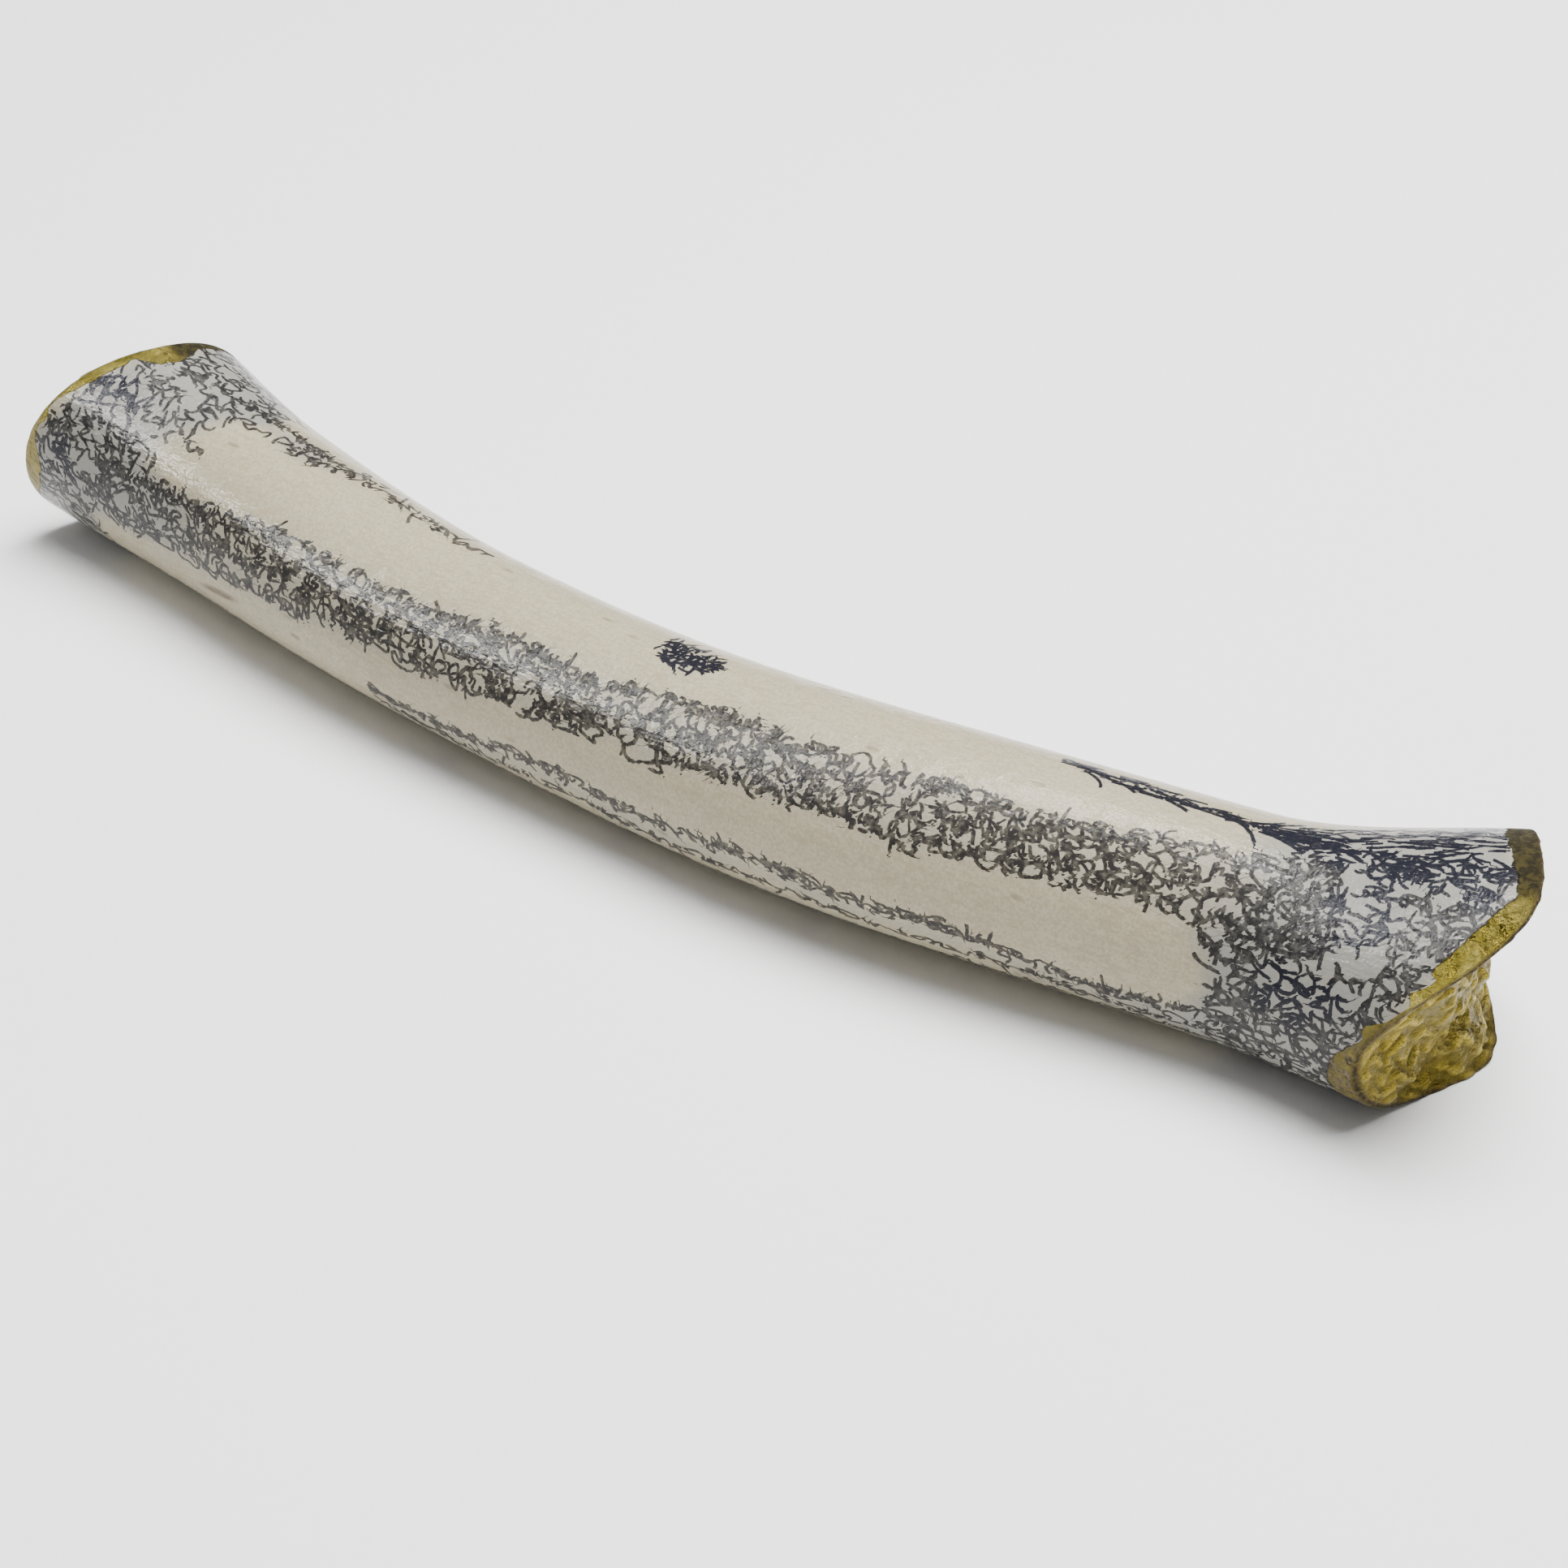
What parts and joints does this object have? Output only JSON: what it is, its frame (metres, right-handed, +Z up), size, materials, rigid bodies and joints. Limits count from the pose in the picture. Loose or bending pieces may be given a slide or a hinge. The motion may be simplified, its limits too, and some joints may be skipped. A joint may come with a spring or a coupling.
{
  "type": "inked and gilded long bone",
  "caption": "Shaft of a young animal's long bone lying on its side, with fine pen marks along it and gold leaf over both bumpy end faces.",
  "frame": {"origin": "centre of the box round the bone, at its bottom, on the surface that it lies on", "axes": "+X along the bone from its slim end to its broad end, +Z up, the bow level and bulging towards -Y"},
  "size_m": [0.1602, 0.0308, 0.0243],
  "materials": {
    "bone_surface": null
  },
  "bodies": {
    "root": {"bone": "bone_surface"}
  },
  "joints": []
}
